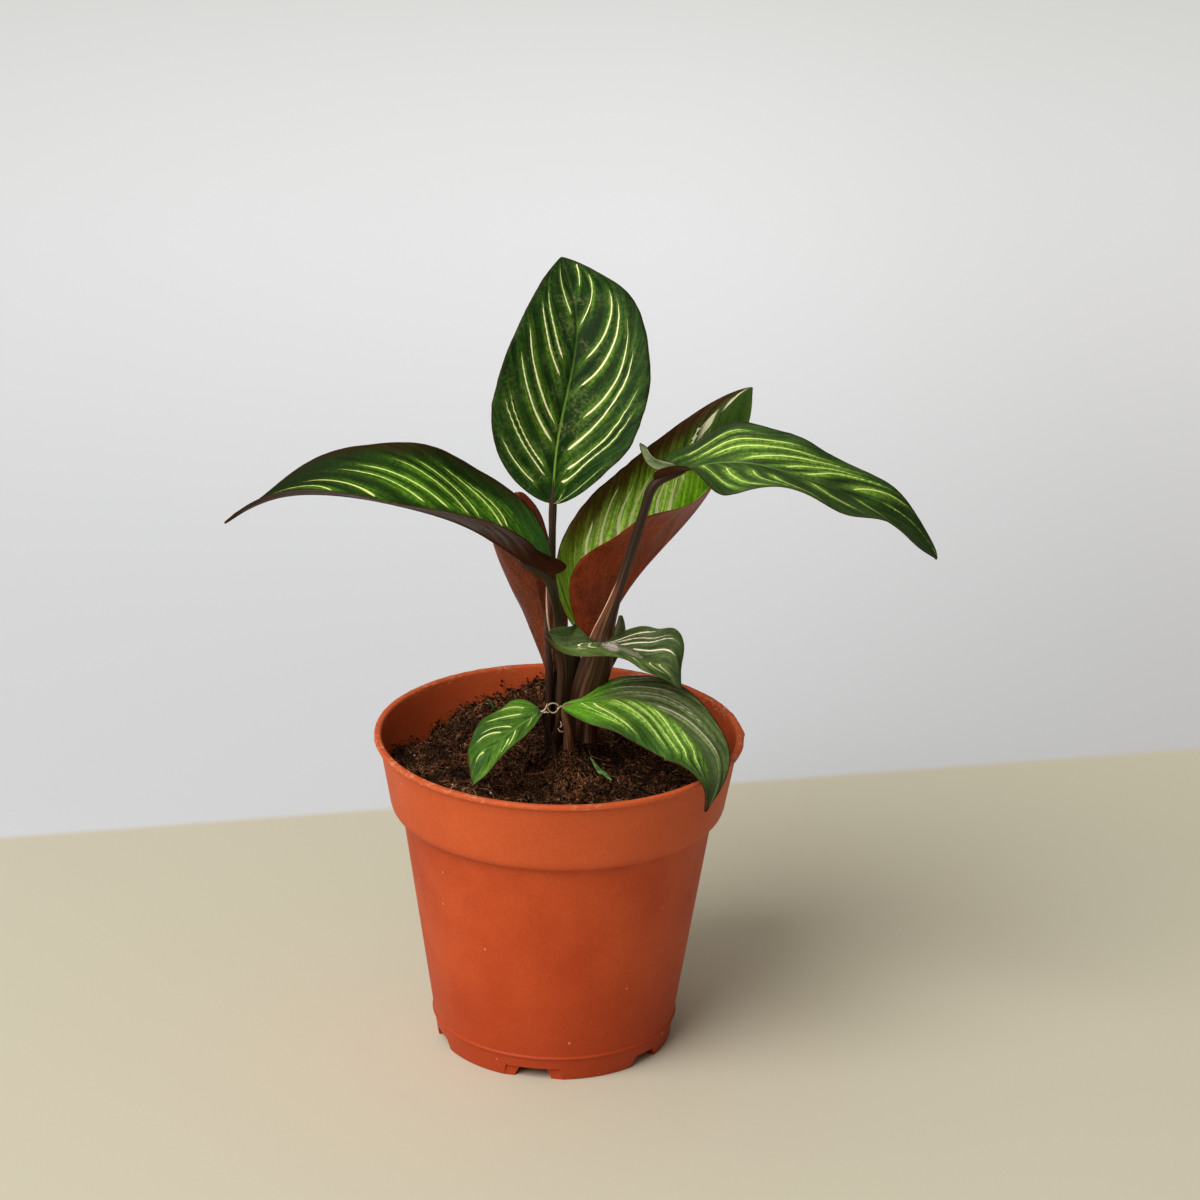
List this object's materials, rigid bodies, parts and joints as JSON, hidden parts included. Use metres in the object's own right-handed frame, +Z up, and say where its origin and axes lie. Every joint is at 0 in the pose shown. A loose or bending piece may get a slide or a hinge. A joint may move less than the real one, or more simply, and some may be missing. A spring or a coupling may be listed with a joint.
{
  "type": "potted calathea",
  "caption": "Young calathea with pin-striped, maroon-backed oval leaves on slim stems, growing in peat in a small tapered plastic nursery pot.",
  "frame": {"origin": "centre of the pot's underside, on the surface that the pot stands on", "axes": "+Z up along the pot's axis; -Y is the side that faces the viewer; +X is the viewer's right"},
  "size_m": [0.2037, 0.108, 0.23],
  "materials": {
    "terracotta_plastic": "moulded terracotta-coloured plastic, satin, with fine scuffs and dust",
    "peat": "damp brown-black peat with fibres, crumbs and a few pale grains",
    "leaf_green": "living leaf: dark green with lighter bands and cream pin stripes, red-brown underneath, waxy sheen",
    "stem_wine": "dark wine-brown fleshy leaf stalk and sheath, satin",
    "dried_bract": "dry papery bract, pale brown-green"
  },
  "bodies": {
    "root": {"pot": "terracotta_plastic", "soil": "peat", "leaf_top_blade": "leaf_green", "leaf_top_stem": "stem_wine", "leaf_left_blade": "leaf_green", "leaf_left_stem": "stem_wine", "leaf_back_right_blade": "leaf_green", "leaf_back_right_stem": "stem_wine", "leaf_right_blade": "leaf_green", "leaf_right_stem": "stem_wine", "leaf_back_left_blade": "leaf_green", "leaf_back_left_stem": "stem_wine", "leaf_middle_blade": "leaf_green", "leaf_middle_stem": "stem_wine", "leaf_low_right_blade": "leaf_green", "leaf_low_right_stem": "stem_wine", "leaf_low_left_blade": "leaf_green", "leaf_low_left_stem": "stem_wine", "bract_curl": "dried_bract", "leaf_scrap": "leaf_green"}
  },
  "joints": []
}
